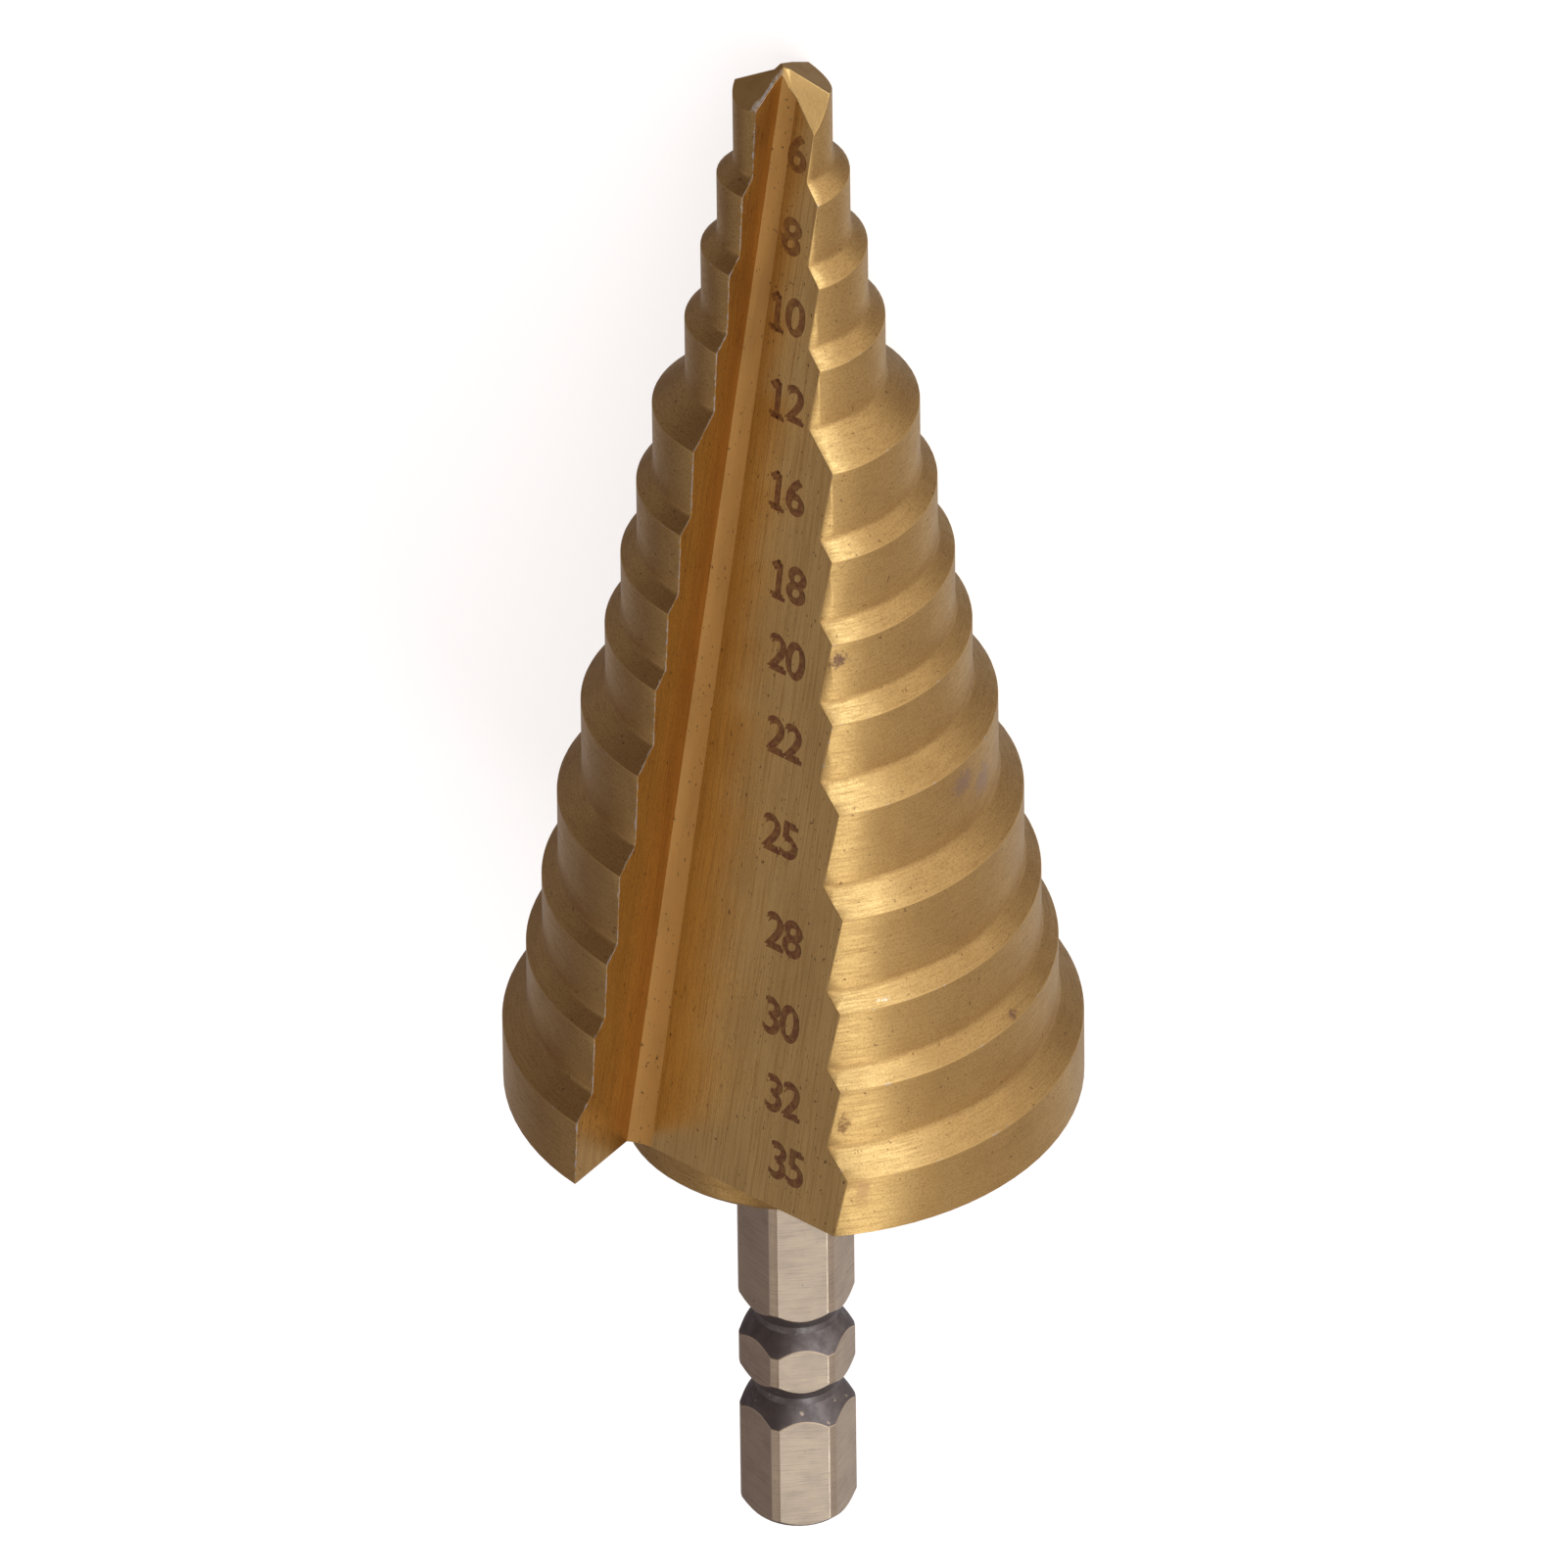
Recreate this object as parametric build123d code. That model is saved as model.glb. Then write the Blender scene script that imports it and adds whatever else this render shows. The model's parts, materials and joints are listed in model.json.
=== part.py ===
from build123d import *
import os
from itertools import combinations
from math import atan2, cos, degrees, radians, sin, tan

# Step drill for holes of 6 to 35 mm in sheet metal, in millimetres, turned and ground from one bar.
# It is built upright on its own axis, with the flat underside of the head at height zero and
# the tip up, then laid on one flute as it comes to rest. Around the axis, angles are measured
# from the middle of the first flute, and grow anticlockwise as seen from the tip.

# Steps, from the tip down: the hole that each one cuts, and the straight land below each rim
step_diameters = [6.0, 8.0, 10.0, 12.0, 16.0, 18.0, 20.0, 22.0, 25.0, 28.0, 30.0, 32.0, 35.0]
pilot_length = 6.6
land_lengths = [4.15, 4.15, 4.1, 4.6, 4.2, 4.1, 4.0, 5.1, 5.05, 3.95, 4.0, 4.25]
shoulder_angle = 45.0
shoulder_root_radius = 0.5

# Relief: how far each land and shoulder fall back from the cutting edge to the heel behind it
axial_relief = 0.65
radial_relief = 0.15

# Two flutes: the straight path of the grinding wheel's nose, and the two faces that its sides leave
valley_radius_at_base = 11.9
valley_angle_at_base = -35.1
valley_radius_at_first_rim = 1.15
valley_angle_at_first_rim = -21.4
rake_face_angle = -15.7
back_face_angle = 69.2
valley_nose_radius = 1.2

# Split point
point_angle = 127.0
lip_relief_angle = 20.0
notch_angle = 20.0
notch_slope = 56.0
notch_wall_lean = 50.0
notch_offset = 0.45
notch_depth = 0.25

# Collar under the head, and the hexagon shank with its two driver grooves
collar_diameter = 20.5
collar_length = 3.3
collar_edge_chamfer = 0.4
hexagon_across_flats = 6.35
hexagon_across_corners = 7.05
hexagon_angle = 26.7
shank_length = 28.55
shank_end_chamfer = 0.6
groove_distances_from_end = [9.0, 14.3]
groove_neck_diameter = 5.15
groove_included_angle = 110.0
groove_bottom_width = 0.5

# How far a tool or a blank reaches past what it cuts
overrun = 5.0

radii = [diameter / 2 for diameter in step_diameters]
shoulder_slope = tan(radians(shoulder_angle))
half_turn = 180.0
upward = (Align.CENTER, Align.CENTER, Align.MIN)
downward = (Align.CENTER, Align.CENTER, Align.MAX)


def around(angle, radius=1.0, height=0.0):
    """The point at this angle, radius and height."""
    return Vector(radius * sin(radians(angle)), -radius * cos(radians(angle)), height)


def angle_of(point):
    return degrees(atan2(point.X, -point.Y))


def rim_heights():
    """Height of each step's rim, from the second step down to the widest."""
    heights = []
    height = 0.0
    for larger in range(len(radii) - 1, 0, -1):
        height += land_lengths[larger - 1]
        heights.insert(0, height)
        height += shoulder_slope * (radii[larger] - radii[larger - 1])
    return heights


rims = rim_heights()
apex_height = rims[0] + shoulder_slope * (radii[1] - radii[0]) + pilot_length
lip_fall = tan(radians((180 - point_angle) / 2))
lip_corner_height = apex_height - radii[0] * lip_fall


def valley_point(height):
    """Where the wheel's two sides would meet at this height, if its nose were sharp."""
    base = around(valley_angle_at_base, valley_radius_at_base)
    first_rim = around(valley_angle_at_first_rim, valley_radius_at_first_rim, rims[0])
    return base + (first_rim - base) * (height / rims[0])


def edge_corner(radius, height, face_angle):
    """Where a face of the first flute meets a land of this radius."""
    valley = valley_point(height)
    face = around(face_angle)
    along = valley.X * face.X + valley.Y * face.Y
    across = valley.X ** 2 + valley.Y ** 2 - radius ** 2
    return valley + face * ((along ** 2 - across) ** 0.5 - along)


def half_land(radius, height):
    """Half of the angle that a land takes, from its cutting edge back to its heel."""
    cutting = angle_of(edge_corner(radius, height, rake_face_angle))
    heel = angle_of(edge_corner(radius, height, back_face_angle))
    return (half_turn - heel + cutting) / 2


def eccentricity():
    """Offset of the lands' common axis that gives the radial relief at the widest step."""
    return radial_relief / (2 * sin(radians(half_land(radii[-1], rims[-1]))))


def step(radius, rim):
    """A step whose shoulder is tipped up on the side of its cutting edge."""
    land = Cylinder(radius, rim + radius, align=upward)
    below = rim + overrun
    cone = Cone(radius + below / shoulder_slope, 0, below + shoulder_slope * radius, align=downward)
    tip = degrees(axial_relief / (2 * radius * sin(radians(half_land(radius, rim)))))
    return land & Pos(0, 0, rim) * Rot(-tip, 0, 0) * Pos(0, 0, shoulder_slope * radius) * cone


def shoulder_roots(blank):
    """The edges at the foot of each land, where the next shoulder starts."""
    roots = []
    for land, radius, rim in zip(radii, radii[1:], rims):
        height = rim + shoulder_slope * (radius - land)
        for edge in blank.edges():
            start = edge @ 0
            on_land = abs((start.X ** 2 + start.Y ** 2) ** 0.5 - (land - radial_relief / 2)) < 0.01
            if on_land and abs(edge.center(CenterOf.MASS).Z - height) < axial_relief:
                roots.append(edge)
    return roots


def relieved_half():
    """The half of the head behind one cutting edge, with every step falling back from it."""
    blank = Cylinder(radii[0] - radial_relief / 2, apex_height + overrun, align=upward)
    for radius, rim in zip(radii[1:], rims):
        blank += step(radius - radial_relief / 2, rim)
    blank = fillet(shoulder_roots(blank), shoulder_root_radius)
    reach = 4 * apex_height
    side = Box(reach, reach, reach, align=(Align.MAX, Align.CENTER, Align.CENTER))
    return (Pos(0, -eccentricity(), 0) * blank) & side


def flute():
    """What the wheel takes out as it runs straight along the head."""
    start = valley_point(-overrun)
    end = valley_point(apex_height + overrun)
    rake = around(rake_face_angle, 2 * radii[-1])
    back = around(back_face_angle, 2 * radii[-1])
    section = make_face(Polyline(start, start + rake, start + rake + back, start + back, close=True))
    wedge = extrude(section, amount=(end - start).length, dir=(end - start).normalized())
    nose = wedge.edges().sort_by_distance((start + end) / 2)[0]
    return fillet(nose, valley_nose_radius)


def lip_grinding():
    """What comes off behind one cutting lip: its relief, and the notch that thins the web."""
    size = 4 * radii[0]
    apex = Vector(0, 0, apex_height)
    corner = angle_of(edge_corner(radii[0], lip_corner_height, rake_face_angle))
    lip = around(corner, 1, -lip_fall)
    facing = lip.cross(around(corner + 90)).rotate(Axis((0, 0, 0), lip), lip_relief_angle)
    relief = Plane(apex, x_dir=lip, z_dir=facing) * Box(size, size, size, align=upward)

    run = around(notch_angle, cos(radians(notch_slope)), -sin(radians(notch_slope)))
    side = around(notch_angle + 90)
    wall = size * tan(radians(notch_wall_lean))
    section = make_face(Polyline((0, 0), (size, 0), (size, size), (-wall, size), close=True))
    start = apex + side * notch_offset - Vector(0, 0, notch_depth)
    notch = extrude(Plane(start, x_dir=side, z_dir=run) * section, amount=size, both=True)
    return relief + notch


def head():
    """The fluted cone with its steps and its split point."""
    half = relieved_half()
    ground_away = flute() + lip_grinding()
    opposite = Rot(0, 0, half_turn)
    return half + opposite * half - ground_away - opposite * ground_away


def collar():
    """The round collar between the underside of the head and the shank."""
    blank = Cylinder(collar_diameter / 2, collar_length, align=downward)
    lower_edge = blank.edges().filter_by(GeomType.CIRCLE).sort_by(Axis.Z)[0]
    return chamfer(lower_edge, collar_edge_chamfer)


def groove():
    """A ring-shaped driver groove with sloping sides and a narrow bottom."""
    neck = groove_neck_diameter / 2
    mouth = hexagon_across_corners
    bottom = groove_bottom_width / 2
    top = bottom + (mouth - neck) * tan(radians(groove_included_angle / 2))
    section = make_face(Polyline((neck, -bottom), (mouth, -top), (mouth, top), (neck, bottom), close=True))
    return revolve(Plane.XZ * section, Axis.Z)


def shank():
    """Hexagon bar with its corners turned round, two grooves and a chamfered end."""
    flats = RegularPolygon(hexagon_across_flats / 2, 6, major_radius=False)
    bar = Rot(0, 0, hexagon_angle) * extrude(flats, amount=shank_length)
    turned = Cylinder(hexagon_across_corners / 2, shank_length, align=upward)
    end_edge = turned.edges().filter_by(GeomType.CIRCLE).sort_by(Axis.Z)[0]
    turned = chamfer(end_edge, shank_end_chamfer)
    for distance in groove_distances_from_end:
        turned -= Pos(0, 0, distance) * groove()
    return Pos(0, 0, -collar_length - shank_length) * (bar & turned)


def resting_plane(balance):
    """The surface that the drill lies on: two corners of one cutting edge and one heel touch it.

    Of all such planes it is the one that lets the balance point come lowest.
    """
    opposite = Rot(0, 0, half_turn)
    edge = [edge_corner(radii[0], lip_corner_height, rake_face_angle)]
    for radius, rim in zip(radii[1:], rims):
        edge.append(edge_corner(radius, rim + axial_relief / 2, rake_face_angle))
    edge = [(opposite * Pos(corner)).position for corner in edge]
    heel = edge_corner(radii[-1] - radial_relief, rims[-1] - axial_relief / 2, back_face_angle)
    heel = (opposite * Pos(heel)).position

    def height_above(up):
        return max(up.dot(balance - corner) for corner in [heel, *edge])

    planes = [(low - heel).cross(high - heel).normalized() for high, low in combinations(edge, 2)]
    up = min(planes, key=height_above)
    towards_shank = up.cross(Vector(0, 0, -1).cross(up))
    return Plane(heel, x_dir=towards_shank.cross(up), z_dir=up)


def laid_down(solid):
    """The drill as it lies, over the middle of its own footprint."""
    lying = resting_plane(solid.center(CenterOf.MASS)).to_local_coords(solid)
    box = lying.bounding_box()
    return Pos(-box.center().X, -box.center().Y, -box.min.Z) * lying


step_drill = laid_down(head() + collar() + shank())

os.makedirs("parts", exist_ok=True)
export_step(step_drill, "parts/step_drill.step")
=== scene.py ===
import json
from math import cos, hypot, pi, radians, sin

import bpy
from bpy.props import FloatProperty, FloatVectorProperty, PointerProperty
from bpy.types import Operator, Panel, PropertyGroup
from mathutils import Matrix, Vector

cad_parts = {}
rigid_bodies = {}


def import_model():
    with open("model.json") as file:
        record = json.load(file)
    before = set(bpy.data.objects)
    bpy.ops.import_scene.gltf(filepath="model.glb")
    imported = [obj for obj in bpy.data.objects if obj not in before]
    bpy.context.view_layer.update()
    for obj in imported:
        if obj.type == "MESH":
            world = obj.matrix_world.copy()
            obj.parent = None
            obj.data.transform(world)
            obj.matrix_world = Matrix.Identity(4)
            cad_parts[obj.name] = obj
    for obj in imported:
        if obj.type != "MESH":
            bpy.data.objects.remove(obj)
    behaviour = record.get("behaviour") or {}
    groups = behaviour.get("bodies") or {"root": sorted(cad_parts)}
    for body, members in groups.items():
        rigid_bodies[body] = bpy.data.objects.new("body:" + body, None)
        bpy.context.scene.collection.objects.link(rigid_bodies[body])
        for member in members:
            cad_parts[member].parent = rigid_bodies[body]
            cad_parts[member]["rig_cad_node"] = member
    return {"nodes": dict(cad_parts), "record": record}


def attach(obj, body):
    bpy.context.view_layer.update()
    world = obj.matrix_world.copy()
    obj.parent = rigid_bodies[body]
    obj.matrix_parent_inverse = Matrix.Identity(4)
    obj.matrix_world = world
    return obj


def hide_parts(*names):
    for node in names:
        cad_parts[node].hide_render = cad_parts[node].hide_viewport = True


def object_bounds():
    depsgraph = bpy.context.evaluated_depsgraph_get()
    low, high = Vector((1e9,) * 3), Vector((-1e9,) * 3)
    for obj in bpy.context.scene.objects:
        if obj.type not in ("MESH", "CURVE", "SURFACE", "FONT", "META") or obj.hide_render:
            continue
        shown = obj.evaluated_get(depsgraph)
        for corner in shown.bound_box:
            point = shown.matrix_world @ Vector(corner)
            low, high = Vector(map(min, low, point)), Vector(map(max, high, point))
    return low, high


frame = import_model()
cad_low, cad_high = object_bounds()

bl_info = {
    "name": "Step drill",
    "version": (1, 0, 0),
    "blender": (4, 5, 0),
    "location": "View3D > Sidebar > Step drill",
    "description":
        "Dresses a step drill as coated and bare ground steel, and sets it in a plain studio",
    "category": "Object",
}

MM = 0.001

# Lengths on the drill are in millimetres, and angles are in degrees.

# The drill's own axes, from its mounts. Angles around them grow anticlockwise as seen from the
# tip, from the middle of the flute that lies on top. Heights are from the head's underside.
collar_length = 3.3
shank_length = 28.55
shank_flat_angle = 26.7
shank_flat_radius = 3.175
mounts = {mount["name"]: mount for mount in frame["record"]["mounts"]}
to_tip = -Vector(mounts["shank_end"]["axis"]).normalized()
to_flute = Matrix.Rotation(radians(-shank_flat_angle), 3, to_tip)
flute_middle = to_flute @ Vector(mounts["shank_flat"]["axis"])
head_base = Vector(mounts["shank_end"]["pos_m"]) + to_tip * (collar_length + shank_length) * MM

# The first flute: its valley line as radius, angle and height at two places, and its two faces
valley_at_base = (11.9, -35.1, 0.0)
valley_at_first_rim = (1.15, -21.4, 65.15)
valley_nose_radius = 1.2
rake_face_angle = -15.7
wide_face_angle = 69.2

# Floor of the valleys as the wheel's worn nose leaves it: how far up the rake face and the wide
# face it starts and ends at the base, how much it is hollowed, and how much it narrows to the tip
valley_floor_from = 0.5
valley_floor_to = 1.55
valley_floor_hollow = 0.08
valley_floor_taper = 0.32

# Heights from which a face can belong to the notches and lip reliefs, and an edge to the point
notch_foot = 66.5
point_height = 69.0

# How the kinds of surface are told apart. Cosines: a normal that agrees with a flute's face, one
# that is square to the shank's axis or to the valley, one that looks outwards as a land does, and
# one that looks along the valley as an end of it does. Millimetres: a gap in height, how far
# inside its radius the middle of a shank's flat may lie, how near the rake face a cutting edge
# is. The valley's faces lie within this many nose radii of its line.
same_normal = 0.9998
square_to_axis = 0.01
square_to_valley = 0.02
land_looks_out = 0.9
valley_end_looks_along = 0.3
height_gap = 0.01
shank_flat_margin = 0.1
cutting_edge_reach = 0.06
valley_reach = 1.5

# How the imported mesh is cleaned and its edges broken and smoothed, in millimetres and degrees
merge_distance = 0.01
level_angle = 0.1
sharp_angle = 25
edge_rows = 2
smallest_edge = 0.0001
smooth_angle = 30

# Size marks: the number, its height over the head's underside and its distance from the valley
marks = [
    ("6", 67.5, 4.72), ("8", 62.1, 4.92), ("10", 57.1, 5.15), ("12", 51.6, 5.84),
    ("16", 45.8, 6.55), ("18", 40.2, 7.32), ("20", 35.4, 7.82), ("22", 30.1, 8.32),
    ("25", 23.8, 8.79), ("28", 17.6, 9.78), ("30", 12.1, 10.22), ("32", 7.2, 10.99),
    ("35", 3.0, 11.8),
]

# A figure's height as a share of its type size, how much thinner than the typeface's its strokes
# are on each side in shares of its height, and the bars of the figure 1 in the same shares: place
# across and up, length, thickness, and tilt in degrees
figure_share = 0.72
stroke_thinning = 0.006
bars_of_one = [
    (0.0, 0.0, 1.0, 0.1, 90.0), (0.0, -0.45, 0.44, 0.1, 0.0), (-0.11, 0.4, 0.3, 0.1, 35.0),
]

# Wear on the lands of the photographed drill: place, half sizes, turn in degrees and colour. In
# turn: smudges on the 20 mm step, twice on the 25 mm step and on the 32 mm step, pitted heels of
# the 32 and 35 mm steps, chips on two rims, two scratches, and a stain behind the 18 mm heel.
wear = [
    ((6.06, -7.95, 36.5), (0.9, 0.9, 0.8), (0, 0, 0), "#8f7055"),
    ((12.13, -3.02, 25.8), (1.6, 1.6, 1.3), (0, 0, 0), "#cbaa88"),
    ((12.3, -0.6, 24.6), (1.4, 1.6, 1.6), (0, 0, 0), "#d0b08c"),
    ((15.36, -3.55, 10.0), (0.6, 0.6, 0.4), (0, 0, 0), "#a58468"),
    ((8.16, -13.76, 7.1), (0.6, 0.6, 1.0), (0, 0, 0), "#a07c50"),
    ((9.6, -14.6, 3.2), (0.7, 0.7, 1.6), (0, 0, 0), "#d0a870"),
    ((9.95, -11.11, 14.75), (0.8, 0.8, 0.14), (0, 0, 0), "#f0dfc0"),
    ((12.12, -12.61, 4.2), (0.3, 0.3, 0.2), (0, 0, 0), "#f0dfc0"),
    ((11.23, -9.93, 10.7), (0.1, 0.1, 0.9), (0, 12, 0), "#a07840"),
    ((9.21, -11.83, 13.5), (0.12, 0.12, 0.7), (0, 25, 0), "#a07840"),
    ((5.41, -7.19, 41.9), (0.3, 0.3, 0.8), (0, 0, 0), "#c09a64"),
]

# Bare steel along the lip beside the upper flute: place, half sizes and turn as above
lip_wear = [
    ((-0.32, -1.7, 71.87), (0.22, 2.2, 0.4), (26, 0, -16)),
    ((-0.66, -2.55, 71.42), (0.5, 0.6, 0.5), (26, 0, -16)),
]

# Tints inside the finishes: specks and pits in the coating, painted shade along the rake face's
# corner with the valley's floor, bright steel in chips and on cutting edges, clouds, lines and
# specks on the ground shank, and the light and dark of its hardened grooves
dark_speck = "#6d4a35"
# Painted shade for the rake face's corner with the valley's floor
painted_corner_shade = "#8a5f30"
chip_steel = "#fbf6ee"
edge_steel = "#f6f0e8"
shank_cloud = "#ab9f94"
shank_line = "#a2968a"
shank_speck = "#5b5250"
hardened_light = "#989391"
hardened_dark = "#85807e"

# The range that nearly all of a noise's values lie in, and the radius at which the grain around
# the drill has its stated length
noise_low = 0.3
noise_high = 0.7
grain_radius = 12.0

# Sockets of a node that mixes colours: how much of the second shows, the two, and the result
amount = 0
under = 6
over = 7
mixed_colour = 2

# The camera as it looked at the photographed drill. Degrees: around the drill, up towards the
# tip, and the tilt of the picture. Metres: its distance from the middle of the head's underside,
# the width of the picture there, and how far the picture's middle lies to the right and up.
camera_angle = 20.0
camera_rise = 35.59
camera_lean = 0.678
camera_distance = 2.196
picture_width = 0.09413
picture_right = -0.00059
picture_up = 0.01715
sensor_width = 36.0
nearest_seen = 0.1
farthest_seen = 10.0

# Lamps: towards where in the scene they hang, width and height in metres, radiance and colour
lamps = {
    "key_light": ((-0.50, -0.84, 0.22), 0.38, 0.28, 2.98, "#deedff"),
    "top_light": ((-0.53, 0.57, 0.63), 0.36, 0.2, 2.45, "#f2f8ff"),
}
lamp_distance = 0.8
lamps_face = Vector((0.0, 0.0, 0.015))

# Soft light of the room on the drill: towards where in the scene, how wide in degrees to each
# side, how strong, and its colour. In turn: the whole right side, the low back, the high left,
# the right between the two lamps, the low left of the back, the low front beside the key light,
# straight above, the low left, the high left of the back, which only the shank's corners see,
# and the camera's side, which only the notch sees.
room_parts = [
    ((-1.0, 0.0, 0.0), 105, 0.3, "#fff6f6"),
    ((0.0, 0.72, -0.69), 45, 0.38, "#edf5ff"),
    ((0.79, 0.25, 0.56), 40, 0.2, "#f2f2ff"),
    ((-0.70, -0.25, 0.67), 45, 0.5, "#fff6f6"),
    ((0.62, 0.68, -0.38), 24, 0.18, "#e6ecff"),
    ((-0.72, -0.66, -0.15), 45, 0.35, "#fff6f6"),
    ((0.30, 0.20, 0.93), 20, 0.4, "#fff4e2"),
    ((0.88, -0.05, -0.47), 35, 0.1, "#e6ecff"),
    ((0.39, 0.45, 0.80), 16, 0.35, "#fff6f6"),
    ((-0.25, -0.69, 0.68), 28, 0.25, "#fff6f6"),
]
white = (1.0, 1.0, 1.0)


def linear(hex_colour):
    """A colour written as sRGB hex, in linear values."""
    channels = [int(hex_colour[i : i + 2], 16) / 255 for i in (1, 3, 5)]
    return tuple(c / 12.92 if c <= 0.04045 else ((c + 0.055) / 1.055) ** 2.4 for c in channels)


def direction(angle):
    """The outward direction at this angle around the drill."""
    return Matrix.Rotation(radians(angle), 3, to_tip) @ flute_middle


drill_axes = Matrix((direction(90), -direction(0), to_tip)).transposed()
into_drill = drill_axes.transposed()


def in_drill(point):
    """A point of the scene in the drill's own axes, in millimetres."""
    return into_drill @ (point - head_base) / MM


def at(radius, angle, height):
    """A point in the drill's own axes, from its radius, angle and height in millimetres."""
    return Vector((radius * sin(radians(angle)), -radius * cos(radians(angle)), height))


valley_foot = at(*valley_at_base)
valley_line = (at(*valley_at_first_rim) - valley_foot).normalized()
rake_across = at(1, rake_face_angle, 0)
wide_across = at(1, wide_face_angle, 0)
rake_normal = valley_line.cross(rake_across).normalized()
wide_normal = wide_across.cross(valley_line).normalized()


class StepDrillSizes(PropertyGroup):
    edge_width: FloatProperty(
        name="Edge width", description="Width of the worn strip along each edge",
        default=0.05 * MM, min=0.0, subtype="DISTANCE", unit="LENGTH", precision=5,
    )
    figure_height: FloatProperty(
        name="Figure height", description="Height of the figures in the size marks",
        default=2.4 * MM, min=0.0, subtype="DISTANCE", unit="LENGTH", precision=5,
    )
    figure_pitch: FloatProperty(
        name="Figure pitch", description="Distance between the two figures of a size mark",
        default=1.35 * MM, min=0.0, subtype="DISTANCE", unit="LENGTH", precision=5,
    )
    figure_narrowing: FloatProperty(
        name="Figure narrowing", description="Width of a figure as a share of the typeface's",
        default=0.92, min=0.1, max=2.0, subtype="FACTOR",
    )
    strike_shift: FloatProperty(
        name="Strike shift", description="How far the second strike of a mark lands from the first",
        default=0.18 * MM, min=0.0, subtype="DISTANCE", unit="LENGTH", precision=5,
    )
    mark_relief: FloatProperty(
        name="Mark relief", description="How far the etched numbers stand over the ground face",
        default=0.01 * MM, min=0.0, subtype="DISTANCE", unit="LENGTH", precision=5,
    )


class StepDrillColours(PropertyGroup):
    coating: FloatVectorProperty(
        name="Coating", description="Titanium nitride on the head",
        subtype="COLOR", size=3, default=linear("#eec982"), min=0.0, max=1.0,
    )
    coating_dark: FloatVectorProperty(
        name="Coating, dark", description="Titanium nitride where it is thick or stained",
        subtype="COLOR", size=3, default=linear("#c59d60"), min=0.0, max=1.0,
    )
    worn: FloatVectorProperty(
        name="Worn edge", description="Steel that shows through on the edges",
        subtype="COLOR", size=3, default=linear("#ecdcc0"), min=0.0, max=1.0,
    )
    steel: FloatVectorProperty(
        name="Steel", description="Bare ground steel of the shank",
        subtype="COLOR", size=3, default=linear("#eadac0"), min=0.0, max=1.0,
    )
    mark: FloatVectorProperty(
        name="Mark", description="Etched size numbers",
        subtype="COLOR", size=3, default=linear("#98694e"), min=0.0, max=1.0,
    )
    room: FloatVectorProperty(
        name="Room", description="Colour of the room's light on the drill",
        subtype="COLOR", size=3, default=linear("#ffdcd2"), min=0.0, max=1.0,
    )
    floor: FloatVectorProperty(
        name="Floor", description="Plain studio floor",
        subtype="COLOR", size=3, default=linear("#f4f4f4"), min=0.0, max=1.0,
    )


class StepDrillStudio(PropertyGroup):
    floor_size: FloatProperty(
        name="Floor size", description="Side of the studio floor",
        default=3.0, min=0.1, subtype="DISTANCE", unit="LENGTH",
    )
    room_light: FloatProperty(
        name="Room light", description="Strength of the room's light on the dark side of the drill",
        default=0.115, min=0.0,
    )
    floor_glow: FloatProperty(
        name="Floor glow", description="How white the floor looks by itself",
        default=0.75, min=0.0,
    )


def add(tree, kind, links=None, **settings):
    """Adds a node with its settings, and sets or links its inputs.

    A node that is given as an input is linked by its first output.
    """
    made = tree.nodes.new(kind)
    for name, value in settings.items():
        setattr(made, name, value)
    for name, value in (links or {}).items():
        socket = made.inputs[name]
        if isinstance(value, bpy.types.Node):
            value = value.outputs[0]
        if isinstance(value, bpy.types.NodeSocket):
            tree.links.new(value, socket)
        elif socket.type == "RGBA":
            socket.default_value = (*value, 1.0)
        else:
            socket.default_value = value
    return made


def new_material(name):
    """An empty node material and its node tree."""
    material = bpy.data.materials.new(name)
    material.use_nodes = True
    material.node_tree.nodes.clear()
    return material, material.node_tree


def rising(none_at, full_at, most=1.0):
    """The range in which something comes to show: nothing at one value, the most at the other."""
    return {"From Min": none_at, "From Max": full_at, "To Min": 0.0, "To Max": most}


def following(lowest, highest):
    """The range that takes nearly all of a noise's values to between these two."""
    return {"From Min": noise_low, "From Max": noise_high, "To Min": lowest, "To Max": highest}


def tinted(tree, colour, tint, pattern, none_at, full_at, most=1.0):
    """A colour with a tint over it, as far as a pattern goes from one value to the other."""
    shown = add(tree, "ShaderNodeMapRange", {"Value": pattern, **rising(none_at, full_at, most)},
                interpolation_type="SMOOTHSTEP")
    mixed = add(tree, "ShaderNodeMix", {amount: shown, under: colour, over: tint}, data_type="RGBA")
    return mixed.outputs[mixed_colour]


def drill_position(tree):
    """Place on the drill in its own axes, in millimetres."""
    place = add(tree, "ShaderNodeTexCoord").outputs["Object"]
    return add(tree, "ShaderNodeMapping", {
        "Vector": place, "Location": head_base, "Rotation": drill_axes.to_euler(),
        "Scale": (MM, MM, MM),
    }, vector_type="TEXTURE")


def ring_position(tree, place, length, pitch, depth):
    """Coordinates around the drill, divided by a grain's length, its depth and its pitch."""
    x, y, z = add(tree, "ShaderNodeSeparateXYZ", {"Vector": place}).outputs
    square = add(tree, "ShaderNodeMath", {0: y, 1: y}, operation="MULTIPLY")
    square = add(tree, "ShaderNodeMath", {0: x, 1: x, 2: square}, operation="MULTIPLY_ADD")
    radius = add(tree, "ShaderNodeMath", {0: square}, operation="SQRT")
    angle = add(tree, "ShaderNodeMath", {0: y, 1: x}, operation="ARCTAN2")
    around = add(tree, "ShaderNodeCombineXYZ", {"X": angle, "Y": radius, "Z": z})
    grain = (length / grain_radius, depth, pitch)
    return add(tree, "ShaderNodeVectorMath", {0: around, 1: grain}, operation="DIVIDE")


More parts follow.
